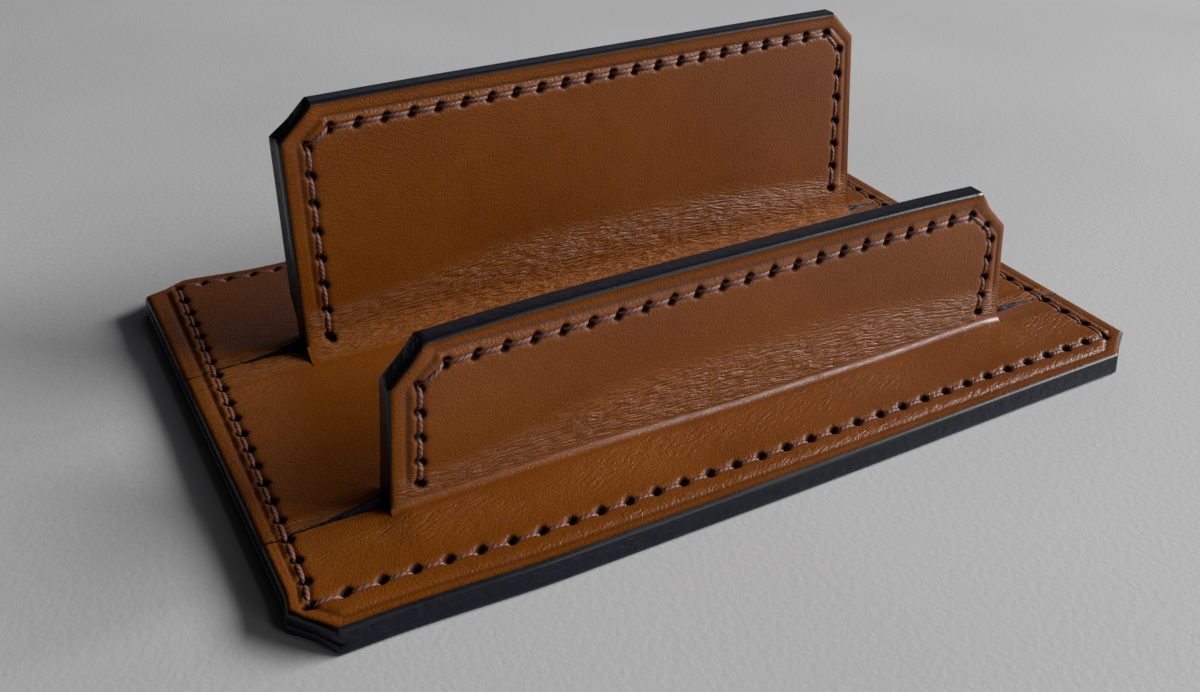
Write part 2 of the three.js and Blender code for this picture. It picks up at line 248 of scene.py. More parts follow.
def tan_leather():
    material, tree, shader = new_material("tan_leather")
    flat = flat_millimetres(tree)
    crease = attribute(tree, "crease")
    worn = attribute(tree, "wrinkle")
    crinkle = attribute(tree, "crinkle")
    edge = attribute(tree, "edge_mm")
    hole = attribute(tree, "hole_mm")
    paint = attribute(tree, "paint")
    along_slit = attribute(tree, "slit_along")
    across_slit = attribute(tree, "slit_across")
    split = add(tree, "SeparateXYZ", Vector=flat)
    fanned = add(tree, "CombineXYZ", X=split.outputs[0], Y=attribute(tree, "fan_mm")).outputs[0]

    # Dye: drifts over 20 mm, mottled over 2 mm
    drift = add(tree, "TexNoise", Vector=flat, Scale=0.05, Detail=3.0, Roughness=0.55)
    mottle = add(tree, "TexNoise", Vector=flat, Scale=0.45, Detail=4.0, Roughness=0.6)
    dyed = ramp(tree, drift.outputs["Fac"], [(0.3, "#763c03"), (0.55, "#7e4206"), (0.75, "#86480a")])
    mottled = ramp(tree, mottle.outputs["Fac"], [(0.3, "#c8bcb0"), (0.7, "#ffffff")])
    colour = blend(tree, 0.25, dyed, mottled, "MULTIPLY")

    # Grain: cells of 0.5 mm between fine lines, with scattered pores
    cells = add(tree, "TexVoronoi", {"feature": "DISTANCE_TO_EDGE"}, Vector=flat, Scale=2.0)
    pores = add(tree, "TexNoise", Vector=flat, Scale=3.0, Detail=2.0)
    lines = between(tree, cells.outputs["Distance"], 0.0, 0.12)
    colour = blend(tree, between(tree, lines, 0.0, 1.0, 0.14, 0.0), colour, linear("#3a1b08"))

    # Wrinkles: wavy ridges 2 mm long, 0.4 mm apart, only where the leather was bent or drawn
    waver = add(tree, "TexNoise", Vector=flat, Scale=0.35, Detail=1.0)
    wavering = add(tree, "VectorMath", {"operation": "MULTIPLY_ADD"}, i0=waver.outputs["Color"],
                   i1=(0.9, 0.9, 0.0), i2=fanned)
    stretched = add(tree, "Mapping", Vector=wavering.outputs[0], Scale=(0.55, 2.7, 1.0))
    ridges = add(tree, "TexNoise", Vector=stretched.outputs[0], Scale=1.0, Detail=2.5, Roughness=0.55)
    drawn = math_node(tree, "MAXIMUM", worn, crinkle)
    crisp = between(tree, ridges.outputs["Fac"], 0.36, 0.62)
    wrinkle_height = math_node(tree, "MULTIPLY", crisp, drawn)
    # worn is how strongly the leather was bent, not wear. The lighter colour there is partly the leather's
    # own lightening where bent and partly painted sheen on the wrinkles
    colour = blend(tree, math_node(tree, "MULTIPLY", worn, 0.75), colour, linear("#965826"))
    # The furrows between the wrinkles are darkened as painted shade
    furrow_shade = math_node(tree, "MULTIPLY", between(tree, crisp, 0.0, 0.6, 0.42, 0.0), worn)
    colour = blend(tree, furrow_shade, colour, linear("#552a0a"))

    # Darker along the crease and towards the painted edge. In and round the awl holes and their nicks
    # the darkening is painted shade, with some dye and wax
    # Painted shade in and round the awl holes, with some dye and wax
    near_hole = between(tree, hole, 0.02, 0.3, 0.97, 0.0)
    narrow = between(tree, math_node(tree, "ABSOLUTE", across_slit), 0.04, 0.12, 1.0, 0.0)
    short = between(tree, along_slit, nick_half - 0.15, nick_half, 1.0, 0.0)
    nick = math_node(tree, "MULTIPLY", narrow, short)
    near_hole = math_node(tree, "MAXIMUM", near_hole, math_node(tree, "MULTIPLY", nick, 0.7))
    ragged = math_node(tree, "MULTIPLY", math_node(tree, "SUBTRACT", pores.outputs["Fac"], 0.5), 0.22)
    inwards = math_node(tree, "SUBTRACT", edge, attribute(tree, "depth_mm"))
    inwards = math_node(tree, "SUBTRACT", math_node(tree, "ADD", inwards, ragged), attribute(tree, "lap_mm"))
    lap = between(tree, inwards, 0.0, 0.07, 1.0, 0.0)
    edge_darkening = between(tree, inwards, 0.05, 0.5, 0.52, 0.0)
    dark = math_node(tree, "MAXIMUM", math_node(tree, "MULTIPLY", crease, 0.42), near_hole)
    colour = blend(tree, math_node(tree, "MAXIMUM", dark, edge_darkening), colour, linear("#2a1006"))
    black = math_node(tree, "MAXIMUM", lap, paint)
    colour = blend(tree, black, colour, linear("#101014"))

    # Wax: a soft gloss, dull in the holes, on the bare rim beside the paint and in the wide fold
    gloss = add(tree, "TexNoise", Vector=flat, Scale=0.3, Detail=3.0)
    rough = between(tree, gloss.outputs["Fac"], 0.3, 0.7, 0.31, 0.38)
    rough = math_node(tree, "SUBTRACT", rough, math_node(tree, "MULTIPLY", black, 0.02))
    rough = math_node(tree, "ADD", rough, math_node(tree, "MULTIPLY", near_hole, 0.3))
    bare_edge = math_node(tree, "SUBTRACT", between(tree, inwards, 0.2, 0.8, 0.8, 0.0), black, clamp=True)
    dull = math_node(tree, "MAXIMUM", near_hole, bare_edge)
    unpolished = between(tree, attribute(tree, "polish"), -1.0, 0.0, 0.0, 1.0)
    shine = math_node(tree, "MULTIPLY", between(tree, dull, 0.0, 0.8, 0.5, 0.08), unpolished)

    # Relief: grain and pores, which paint fills, then the wrinkles, then the cut of the pricking iron
    grain_strength = between(tree, black, 0.0, 1.0, 0.35, 0.06)
    skin_strength = between(tree, black, 0.0, 1.0, 0.45, 0.06)
    grain = add(tree, "Bump", Strength=grain_strength, Distance=0.00007, Height=lines)
    skin = add(tree, "Bump", Strength=skin_strength, Distance=0.0001, Height=pores.outputs["Fac"],
               Normal=grain.outputs[0])
    wrinkled = add(tree, "Bump", Strength=1.0, Distance=0.00016, Height=wrinkle_height,
                   Normal=skin.outputs[0])
    cut = add(tree, "Bump", {"invert": True}, Strength=0.8, Distance=0.0001, Height=nick,
              Normal=wrinkled.outputs[0])
    plug(tree, shader, Base_Color=colour, Roughness=rough, IOR=1.4, Specular_IOR_Level=shine,
         Normal=cut.outputs[0], Coat_Weight=attribute(tree, "polish"), Coat_Roughness=0.32, Coat_IOR=1.8)
    return material


# %% [markdown]
# Cut edges are sanded, painted black and burnished, usually two or three coats. The paint levels most of
# the fibres but leaves fine scratches along the edge, a few dust specks, and a faint line where two
# layers of leather meet. It is satin, so it catches a light line along each rounded arris.

# %% Edge paint
def solid_millimetres(tree):
    """A point's place in the holder, in millimetres, for patterns that don't follow the sheet."""
    place = add(tree, "TexCoord").outputs["Object"]
    return add(tree, "Mapping", Vector=place, Scale=(1 / MM, 1 / MM, 1 / MM)).outputs[0]


def edge_paint():
    material, tree, shader = new_material("black_edge_paint")
    flat = flat_millimetres(tree)
    split = add(tree, "SeparateXYZ", Vector=flat)
    rim = add(tree, "CombineXYZ", X=split.outputs[0], Y=split.outputs[1], Z=attribute(tree, "depth_mm"))
    along = add(tree, "Mapping", Vector=rim.outputs[0], Scale=(0.22, 0.22, 4.5)).outputs[0]
    scratches = add(tree, "TexNoise", Vector=along, Scale=1.0, Detail=4.0, Roughness=0.7)
    place = solid_millimetres(tree)
    lumps = add(tree, "TexNoise", Vector=place, Scale=0.8, Detail=3.0)
    specks = add(tree, "TexVoronoi", Vector=place, Scale=0.9)
    colour = ramp(tree, scratches.outputs["Fac"], [(0.35, "#08090e"), (0.75, "#11121a")])
    dust = between(tree, specks.outputs["Distance"], 0.04, 0.08, 0.5, 0.0)
    colour = blend(tree, dust, colour, linear("#5c5a5c"))
    rough = between(tree, scratches.outputs["Fac"], 0.3, 0.7, 0.18, 0.42)
    fine = add(tree, "Bump", Strength=0.35, Distance=0.0001, Height=scratches.outputs["Fac"])
    level = add(tree, "Bump", Strength=0.6, Distance=0.00025, Height=lumps.outputs["Fac"],
                Normal=fine.outputs[0])
    plug(tree, shader, Base_Color=colour, Roughness=rough, IOR=1.4, Specular_Tint=linear("#dde0ff"),
         Normal=level.outputs[0])
    return material


# %% [markdown]
# The thread is three twisted plies of waxed dark brown polyester. Each ply shows as a slanted ridge. On
# the tube the plies are stripes on the tube's own UV map: V runs along the thread in millimetres and U
# once round it, so the sum of both climbs like a screw. The stripes' colour is painted light and shade:
# lighter on each ply's crest, darker in the groove between plies.

# %% Waxed thread
PLIES = 3
LAY_LENGTH = 2.0


def waxed_thread():
    material, tree, shader = new_material("waxed_twisted_thread")
    uv = add(tree, "UVMap", {"uv_map": "thread"}).outputs[0]
    split = add(tree, "SeparateXYZ", Vector=uv)
    turns = math_node(tree, "DIVIDE", split.outputs[1], LAY_LENGTH)
    screw = math_node(tree, "MULTIPLY", math_node(tree, "ADD", turns, split.outputs[0]), float(PLIES))
    phase = math_node(tree, "MULTIPLY", math_node(tree, "FRACT", screw), 2 * math.pi)
    ply = between(tree, math_node(tree, "COSINE", phase), -1.0, 1.0)
    round_ply = math_node(tree, "POWER", ply, 0.55)
    place = add(tree, "TexCoord").outputs["Object"]
    fibres = add(tree, "TexNoise", Vector=place, Scale=9000.0, Detail=2.0)
    # Painted highlight on each ply's crest and painted shade in the grooves between plies
    colour = ramp(tree, round_ply, [(0.05, "#482820"), (0.5, "#694036"), (1.0, "#82564b")])
    height = math_node(tree, "ADD", round_ply, math_node(tree, "MULTIPLY", fibres.outputs["Fac"], 0.35))
    bump = add(tree, "Bump", Strength=0.4, Distance=0.0001, Height=height)
    plug(tree, shader, Base_Color=colour, Roughness=0.5, Normal=bump.outputs[0], Sheen_Weight=0.15,
         Sheen_Roughness=0.4, Sheen_Tint=linear("#c8a8a4"))
    return material


# %% [markdown]
# The panel under the facings is a second leather with its grain worn flat by the desk. Only its edge
# and underside can be seen. It is matt, slightly fibrous, and darker than the facings.

# %% Panel leather
def panel_leather():
    material, tree, shader = new_material("panel_leather")
    place = solid_millimetres(tree)
    nap = add(tree, "TexNoise", Vector=place, Scale=3.5, Detail=5.0, Roughness=0.7)
    drift = add(tree, "TexNoise", Vector=place, Scale=0.06, Detail=3.0)
    colour = ramp(tree, drift.outputs["Fac"], [(0.3, "#5c3515"), (0.7, "#734620")])
    shade = ramp(tree, nap.outputs["Fac"], [(0.3, "#8c8078"), (0.7, "#ffffff")])
    colour = blend(tree, 0.5, colour, shade, "MULTIPLY")
    bump = add(tree, "Bump", Strength=0.5, Distance=0.0002, Height=nap.outputs["Fac"])
    plug(tree, shader, Base_Color=colour, Roughness=0.68, Normal=bump.outputs[0])
    return material


LEATHER = tan_leather()
PAINT = edge_paint()
THREAD = waxed_thread()
PANEL = panel_leather()
print("materials:", [m.name for m in (LEATHER, PAINT, THREAD, PANEL)])

# %% [markdown]
# A seam is marked before it is sewn: a pricking iron sets slanted slits at even steps. So each leg of the
# seam's path is split into equal steps. A corner belongs to both of its legs, and its slit is turned
# halfway between them.

# %% Outlines and seams
corner_cuts = {(-1, 1): (4.6, 2.4), (1, 1): (4.4, 4.4), (1, -1): (5.1, 3.7), (-1, -1): (4.3, 4.5)}


def cut_corner(side, end):
    """The two points of a cut corner: on the side edge, then on the end edge."""
    x, y = side * base_width / 2, end * base_depth / 2 - max(end, 0) * rear_trim
    across, down = corner_cuts[side, end]
    return [(x, y - end * down), (x - side * across, y)]


def base_outline():
    """Clockwise from the rear left."""
    return [*cut_corner(-1, 1), *cut_corner(1, 1)[::-1], *cut_corner(1, -1), *cut_corner(-1, -1)[::-1]]


def wall_outline(wall):
    """Seen from the front: left foot, over the top, right foot."""
    (left_across, left_down), (right_across, right_down) = wall["cuts"]
    height, (foot_left, foot_right), (left, right) = wall["height"], wall["feet"], wall["sides"]
    return [(-foot_left, base_top), (-left, height - left_down), (left_across - left, height),
            (right - right_across, height), (right, height - right_down), (foot_right, base_top)]


def wall_seam(wall):
    path = [Vector(p) for p in wall["seam"]]
    return path, [wall["side_pitch"], *[stitch_pitch] * (len(path) - 3), wall["side_pitch"]]


def base_seam():
    path = [Vector(p) for p in base_seam_corners + base_seam_corners[:1]]
    return path, [stitch_pitch] * 4


SLIT_TURN = Matrix.Rotation(math.pi / 4, 2)


def seam_holes(path, pitches):
    """Every hole as its place, the seam's heading there and the slit's direction."""
    legs = [b - a for a, b in zip(path, path[1:])]
    counts = [max(1, round(leg.length / pitch)) for leg, pitch in zip(legs, pitches)]
    closed = (path[0] - path[-1]).length < 1e-6
    holes = []
    for i, (leg, count) in enumerate(zip(legs, counts)):
        for k in range(count):
            before = legs[i - 1] if k == 0 and (i > 0 or closed) else leg
            heading = (before.normalized() + leg.normalized()).normalized()
            holes.append((path[i] + leg * (k / count), heading, SLIT_TURN @ heading))
    last = legs[-1].normalized()
    holes.append(holes[0] if closed else (path[-1].copy(), last, SLIT_TURN @ last))
    return holes


SEAMS = {"base": base_seam(), "front": wall_seam(WALLS["front"]), "rear": wall_seam(WALLS["rear"])}
HOLES = {name: seam_holes(*seam) for name, seam in SEAMS.items()}
print("holes:", {name: len(holes) for name, holes in HOLES.items()})

# %% [markdown]
# How the surface sinks and swells is worked out for many points at once, so these helpers take whole
# arrays of points: the distance inside an outline's edges, the distance to the seam, and the distance to
# the nearest awl slit. A slit is a short line with a round end, which an awl's blade leaves.

# %% Distances on the leather
slit_half = 0.3
slit_radius = 0.43
slit_search = 4
far_away = 99.0


def inside_edges(points, outline, closed):
    """For each point and each edge, how far inside the edge the point is."""
    corners = outline + outline[:1] if closed else outline
    depths = []
    for (x0, y0), (x1, y1) in zip(corners, corners[1:]):
        along = np.array((x1 - x0, y1 - y0)) / math.hypot(x1 - x0, y1 - y0)
        depths.append((points[:, 0] - x0) * along[1] - (points[:, 1] - y0) * along[0])
    return np.array(depths)


def to_path(points, path):
    """Distance from each point to the nearest leg of a path."""
    nearest = np.full(len(points), 1e9)
    for a, b in zip(path, path[1:]):
        a, leg = np.array(a), np.array(b - a)
        share = np.clip(((points - a) @ leg) / (leg @ leg), 0, 1)
        nearest = np.minimum(nearest, np.linalg.norm(points - a - share[:, None] * leg, axis=1))
    return nearest


def to_slits(points, holes):
    """Signed distance to the nearest slit's outline, the direction away from it, and the point's place
    along and across that slit."""
    nearest = np.full(len(points), 1e9)
    away = np.zeros((len(points), 2))
    local = np.full((len(points), 2), 9.0)
    for place, _, slit in holes:
        near = np.abs(points[:, 0] - place.x) + np.abs(points[:, 1] - place.y) < slit_search
        offset = points[near] - np.array(place)
        along, across = offset @ np.array(slit), offset @ np.array((-slit.y, slit.x))
        gap = offset - np.clip(along, -slit_half, slit_half)[:, None] * np.array(slit)
        length = np.linalg.norm(gap, axis=1)
        better = length - slit_radius < nearest[near]
        chosen = np.flatnonzero(near)[better]
        nearest[chosen] = (length - slit_radius)[better]
        away[chosen] = (gap / np.maximum(length, 1e-6)[:, None])[better]
        local[chosen] = np.stack([along, across], axis=1)[better]
    return nearest, away, local


print("slit", 2 * (slit_half + slit_radius), "mm long")

# %% [markdown]
# The flat pattern of a strip is one outline with short slits beside each wall's foot: the wall folds up
# between them while the leather outside stays flat and meets the next strip at the seam line. S is the
# coordinate down the strip. On the base it is the same as y, and a wall simply runs on beyond its fold
# as if it were folded down.

# %% Flat patterns
tight_radius = 2.0
smooth_length = 1.8


class Fold:
    """One wall of a strip. heading is +1 where the wall leaves towards +s and -1 towards -s. taut is
    how far past its start a tight front fold is too stretched to wrinkle."""

    def __init__(self, wall, heading):
        self.wall = wall
        self.seam = wall["y"]
        self.heading = heading
        self.radius = wall["radius"][heading]
        self.fine = wall["fine"][heading]
        self.taut = smooth_length if heading > 0 and self.radius < tight_radius else 0.0
        self.reach = self.radius + facing_thickness
        self.level = base_top + self.radius
        self.start = self.seam - heading * self.reach
        self.top = self.seam + heading * (wall["height"] - self.level)

    def travel(self, s):
        """How far past the start of the fold, in millimetres."""
        return self.heading * (s - self.start)

    def foot(self, x):
        """Half the wall's width at its foot, on the side of x."""
        return np.where(x < 0, *self.wall["feet"])

    def taper(self, x, z):
        left, right = self.wall["cuts"]
        share = (z - base_top) / (self.wall["height"] - np.where(x < 0, left[1], right[1]) - base_top)
        return 1 - (1 - np.where(x < 0, *self.wall["sides"]) / self.foot(x)) * np.clip(share, 0, None)


def wall_side(fold, sign):
    """Half of a wall in the flat pattern, from the shoulder to the top, on one side (sign of x)."""
    side = 0 if sign < 0 else 1
    height, (across, down) = fold.wall["height"], fold.wall["cuts"][side]
    foot, half = fold.wall["feet"][side], fold.wall["sides"][side]
    corner_s = fold.seam + fold.heading * (height - down - fold.level)
    top_x = (half - across) / float(fold.taper(np.array(sign * 1.0), height))
    x_out = foot + slit_width
    return [(sign * base_width / 2, fold.seam), (sign * x_out, fold.seam), (sign * x_out, fold.start),
            (sign * foot, fold.start), (sign * foot, corner_s), (sign * top_x, fold.top)]


def pattern(folds, end=None):
    """Corners of a strip's flat pattern, counterclockwise seen from its grain side."""
    upper = max(folds, key=lambda fold: fold.heading)
    lower = min(folds, key=lambda fold: fold.heading)
    corners = []
    if upper.heading > 0:
        corners += wall_side(upper, 1) + wall_side(upper, -1)[::-1]
    else:
        corners += cut_corner(1, end) + cut_corner(-1, end)[::-1]
    if lower.heading < 0:
        corners += wall_side(lower, -1) + wall_side(lower, 1)[::-1]
    else:
        corners += cut_corner(-1, end) + cut_corner(1, end)[::-1]
    return corners


FRONT, REAR = WALLS["front"], WALLS["rear"]
STRIPS = {
    "front_facing": {"folds": [Fold(FRONT, 1)], "end": -1},
    "middle_facing": {"folds": [Fold(REAR, 1), Fold(FRONT, -1)], "end": None},
    "rear_facing": {"folds": [Fold(REAR, -1)], "end": 1},
}
for name, strip in STRIPS.items():
    strip["corners"] = pattern(strip["folds"], strip["end"])
    print(name, "pattern has", len(strip["corners"]), "corners")

# %% [markdown]
# Leather is cut with a knife, which leaves a sharp arris. Sanding and burnishing round it, and where two
# layers meet in an edge a fine groove stays between them. The outline gets its thickness by extrusion
# and its worn arris by a bevel, while it is still a handful of faces. Then it is sliced into small
# cells. Rounding first and slicing second keeps the bevel clean at every corner.

# %% Cutting a sheet with rounded edges
arris_radius = 0.58
layer_groove = 0.09
left_band = 4.5
cell = 0.9
seam_lip = 0.16


def is_open_edge(a, b, folds):
    """True for edges that are worn round: not the butted seam edges and not the ends of the slits."""
    level = abs(a[1] - b[1]) < 1e-6
    at_seam = any(abs(a[1] - fold.seam) < 1e-6 for fold in folds)
    at_slit_end = any(abs(a[1] - fold.start) < 1e-6 for fold in folds)
    shoulder_side = any(abs(abs(a[0]) - fold.foot(a[0]) - slit_width) < 1e-6 for fold in folds)
    shoulder_side = shoulder_side and abs(a[0] - b[0]) < 1e-6
    return not (level and (at_seam or at_slit_end)) and not shoulder_side


def cut_sheet(corners, thickness, folds):
    """The pattern as a slab. Its grain side is z = 0. The faces of its cut edge have material 1. Only
    on the left, where the edges stand in view, is the flesh side bevelled, which parts the layers."""
    sheet = bmesh.new()
    sheet.faces.new([sheet.verts.new((x, s, 0)) for x, s in corners])
    grown = bmesh.ops.extrude_face_region(sheet, geom=sheet.faces[:], use_keep_orig=True)
    lowered = [v for v in grown["geom"] if isinstance(v, bmesh.types.BMVert)]
    bmesh.ops.translate(sheet, vec=(0, 0, -thickness), verts=lowered)
    bmesh.ops.recalc_face_normals(sheet, faces=sheet.faces[:])

    def outline_edges(level):
        found = []
        for edge in sheet.edges:
            a, b = (v.co for v in edge.verts)
            if abs(a.z - level) < 1e-6 and abs(b.z - level) < 1e-6 and is_open_edge(a, b, folds):
                found.append(edge)
        return found

    left_limit = left_band - base_width / 2
    at_left = [e for e in outline_edges(-thickness) if all(v.co.x < left_limit for v in e.verts)]
    bmesh.ops.bevel(sheet, geom=at_left, offset=layer_groove, offset_type="OFFSET",
                    affect="EDGES", segments=1, profile=0.5, material=-1)
    for face in sheet.faces:
        face.material_index = 0 if abs(face.normal.z) > 0.999 else 1
    bmesh.ops.bevel(sheet, geom=outline_edges(0), offset=arris_radius, offset_type="OFFSET",
                    affect="EDGES", segments=4, profile=0.5, material=0)
    return sheet


def slice_sheet(sheet, axis, places):
    """Cuts the whole slab at each place along one axis."""
    normal = Vector((axis == 0, axis == 1, 0))
    for place in places:
        geometry = sheet.verts[:] + sheet.edges[:] + sheet.faces[:]
        bmesh.ops.bisect_plane(sheet, geom=geometry, plane_co=normal * place, plane_no=normal, dist=1e-5)


def steps(start, end, size):
    """Even places between start and end, both left out, no further apart than size."""
    count = max(1, math.ceil(abs(end - start) / size))
    return [start + (end - start) * k / count for k in range(1, count)]


def slice_places(strip):
    """Where a strip is sliced along s: finely round the folds and evenly elsewhere."""
    marks = {round(s, 4) for _, s in strip["corners"]}
    for fold in strip["folds"]:
        marks |= {round(fold.seam - fold.heading * seam_lip, 4)}
    marks = sorted(marks)
    places = []
    for low, high in zip(marks, marks[1:]):
        middle = (low + high) / 2
        bending = any(0 < fold.travel(middle) < fold.reach and fold.fine > 0 for fold in strip["folds"])
        places += [low] + steps(low, high, cell / 2 if bending else cell)
    return places[1:]


print("a sheet is cut, rounded and sliced by these")

# %% [markdown]
# Two passes of subdivision follow. The first halves the cells in the seam's band and round the folds,
# the second halves them again right at the crease, the stitches and the wrinkles, where a form is only
# half a millimetre wide. Most of the sheet stays coarse, and so does the fold behind the low wall, which
# hardly shows. That keeps a strip under 200,000 triangles.
#
# Where the black edge paint ends is measured too: how far it laps over the outline, for each edge. It
# was wiped on from the left, so on edges that face right it stops short and the leather shows.

# %% Dividing the cells that carry detail
BASE_LAPS = (0.1, 0.2, -0.2, -0.3, -0.1, 0.2, 0.2, 0.0)
WALL_LAPS = (0.35, 0.35, 0.32, -0.2, -0.35)
unpainted_share = 0.6
unpainted_lap = -3.0
seam_band = 1.6
stitch_band = 1.15
edge_band = 4.5
crease_band = 0.5


def plane_points(strip, flat):
    """For points of the flat pattern: the region (None for the base, else a fold), as index, and the
    place in that region's own plane, x with y on the base and x with z on a wall."""
    x, s = flat[:, 0], flat[:, 1]
    region = np.full(len(flat), -1)
    place = np.stack([x, s], axis=1)
    for k, fold in enumerate(strip["folds"]):
        travel = fold.travel(s)
        on = (np.abs(x) < fold.foot(x) + slit_width / 2) & (travel > 1e-6)
        bend = np.clip(travel / fold.reach, 0, 1) * math.pi / 2
        z = fold.level - fold.radius * np.cos(bend) + np.maximum(travel - fold.reach, 0)
        region[on] = k
        place[on, 0] = (x * fold.taper(x, z))[on]
        place[on, 1] = z[on]
    return region, place


def smooth_step(value, low, high):
    share = np.clip((value - low) / (high - low), 0, 1)
    return share * share * (3 - 2 * share)


def of_near_edge(depths, values):
    """The value that belongs to the nearest edge, blended where two edges meet."""
    weights = np.exp((depths.min(axis=0) - depths) / 0.25)
    return (weights * np.array(values)[:, None]).sum(axis=0) / weights.sum(axis=0)


def in_lower_fold(fold, x, s):
    """True where the paint brush didn't reach: the cut sides of the lower part of a fold."""
    travel = fold.travel(s)
    low = (travel > -0.05) & (travel < unpainted_share * fold.reach)
    return low & (np.abs(x) < fold.foot(x) + slit_width / 2)


def measure(strip, flat):
    """What the shaping needs to know at each point of the flat pattern."""
    region, place = plane_points(strip, flat)
    count = len(flat)
    facts = {"region": region, "place": place, "extent": np.full(count, 9.0),
             "away": np.zeros((count, 2)), "local": np.full((count, 2), 9.0)}
    facts |= {key: np.full(count, far_away) for key in ("edge", "line", "seam", "hole", "lip")}
    facts |= {key: np.full(count, -far_away) for key in ("travel", "climb")}
    facts |= {key: np.zeros(count) for key in ("lap", "fan", "valley", "taut", "fine")}
    for k in [-1, *range(len(strip["folds"]))]:
        on = region == k
        if not on.any():
            continue
        points = place[on]
        if k < 0:
            depths = inside_edges(points, base_outline(), True)
            creases, valleys, laps, name = base_creases, base_valleys, BASE_LAPS, "base"
        else:
            wall = strip["folds"][k].wall
            depths = inside_edges(points, wall_outline(wall), False)
            creases, valleys, laps = wall["creases"], wall["valleys"], WALL_LAPS
            name = "front" if wall is FRONT else "rear"
        facts["edge"][on] = depths.min(axis=0)
        facts["line"][on] = (depths - np.array(creases)[:, None]).min(axis=0)
        facts["valley"][on] = of_near_edge(depths, valleys)
        facts["lap"][on] = of_near_edge(depths, laps)
        facts["seam"][on] = to_path(points, SEAMS[name][0])
        facts["hole"][on], facts["away"][on], facts["local"][on] = to_slits(points, HOLES[name])
    for fold in strip["folds"]:
        travel = fold.travel(flat[:, 1])
        nearer = np.abs(travel) < np.abs(facts["travel"])
        facts["travel"] = np.where(nearer, travel, facts["travel"])
        facts["climb"] = np.where(nearer, travel - fold.reach, facts["climb"])
        x = flat[:, 0]
        extent = fold.wall["wrinkled"] * (0.4 + 0.6 * smooth_step(x, -42, -8))
        extent *= 1 - 0.3 * smooth_step(x, 15, 44)
        fan = np.where(travel > 0, travel * (fold.wall["wrinkled"] / extent) ** 0.7, travel - 0.3 * x)
        facts["fan"] = np.where(nearer, fan, facts["fan"])
        facts["taut"] = np.where(nearer, fold.taut, facts["taut"])
        facts["fine"] = np.where(nearer, fold.fine, facts["fine"])
        facts["extent"] = np.where(nearer, extent, facts["extent"])
        shoulder = np.abs(x) > fold.foot(x) + slit_width / 2
        gap = np.where(shoulder, np.abs(flat[:, 1] - fold.seam), far_away)
        facts["lip"] = np.minimum(facts["lip"], gap)
        facts["lap"] += unpainted_lap * in_lower_fold(fold, x, flat[:, 1])
    return facts


def top_faces(sheet):
    return [f for f in sheet.faces if f.material_index == 0 and f.normal.z > 0.99]


def divide(sheet, strip, wanted):
    """Halves the grain side's faces for which wanted(facts) is true."""
    faces = top_faces(sheet)
    centres = np.array([f.calc_center_median()[:2] for f in faces])
    chosen = wanted(measure(strip, centres))
    edges = {edge for face, use in zip(faces, chosen) if use for edge in face.edges}
    bmesh.ops.subdivide_edges(sheet, edges=list(edges), cuts=1, use_grid_fill=True)


def in_band(facts):
    bent = (facts["travel"] > -1 - facts["fine"]) & (facts["climb"] < 3 + facts["fine"])
    return (facts["edge"] < edge_band) | (facts["seam"] < seam_band) | bent


def at_detail(facts):
    creased = np.abs(facts["line"]) < crease_band
    bent = (facts["travel"] > -facts["fine"] / 2) & (facts["climb"] < facts["fine"]) & (facts["fine"] > 0)
    return (facts["seam"] < stitch_band) | creased | bent


print("cells of", cell, cell / 2, "and", cell / 4, "mm")

# %% [markdown]
# Shaping is where the sheet turns into leather. A warm iron pressed the strip along the edge flat and
# left a fine crease where it ends. Thread pulls its own line down, so a bead stands between crease and
# stitches. Each awl slit is a steep pit with a ragged rim. Bending buckles the grain side into shallow
# folds that fan out from the left foot. All of it is one depth below the flat surface. The noise has
# fixed seeds, so the leather comes out the same each time.

# %% Pressing, pricking and wrinkling the flat sheet
crease_depth = 0.11
crease_width = 0.2
valley_reach = 0.8
stitch_sink = 0.24
stitch_sink_width = 0.45
hole_sink = 0.1
pit_depth = 1.3
wrinkle_depth = 0.1
crinkle_depth = 0.06
unevenness = 0.05


def noise_at(flat, scale_x, scale_y, seed):
    return np.array([noise.noise((x * scale_x, s * scale_y, seed)) for x, s in flat[:, :2]])


def wrinkle_weight(facts, flat):
    """How strongly the grain is wrinkled: most just past the fold, fading along the wall, and in
    patches on the base before the fold."""
    patches = smooth_step(noise_at(flat, 0.07, 0.16, 11.5), -0.2, 0.25)
    before = smooth_step(facts["travel"], -8.0, -3.5) * (0.35 + 0.65 * patches)
    before *= 1 - smooth_step(facts["travel"], -0.8, -0.1)
    after = smooth_step(facts["travel"] - facts["taut"], 0.0, 1.5)
    rising = np.where(facts["travel"] < 0, 0.28 * before, after)
    fading = 1 - smooth_step(facts["climb"] / facts["extent"], 0.45, 1.0)
    calm_edge = smooth_step(facts["edge"], 0.3, 1.5)
    return rising * fading * calm_edge


def polished(facts, flat):
    """Above 0 where the folding bone polished the tight front fold, below 0 in the other, dull folds."""
    travel, climb = facts["travel"], facts["climb"]
    band = smooth_step(travel, 0.2, 1.0) * (1 - smooth_step(climb, -1.0, -0.1))
    band *= smooth_step(flat[:, 0], -40, 6) * (1 - 0.6 * smooth_step(flat[:, 0], 24, 44))
    tight = band * (facts["taut"] > 0) * np.clip(0.75 + noise_at(flat, 0.6, 1.7, 6.1), 0.2, 1.0)
    wide = smooth_step(travel, -1, 1) * (1 - smooth_step(climb, 0, 3)) * (facts["taut"] == 0)
    return tight - 0.7 * wide


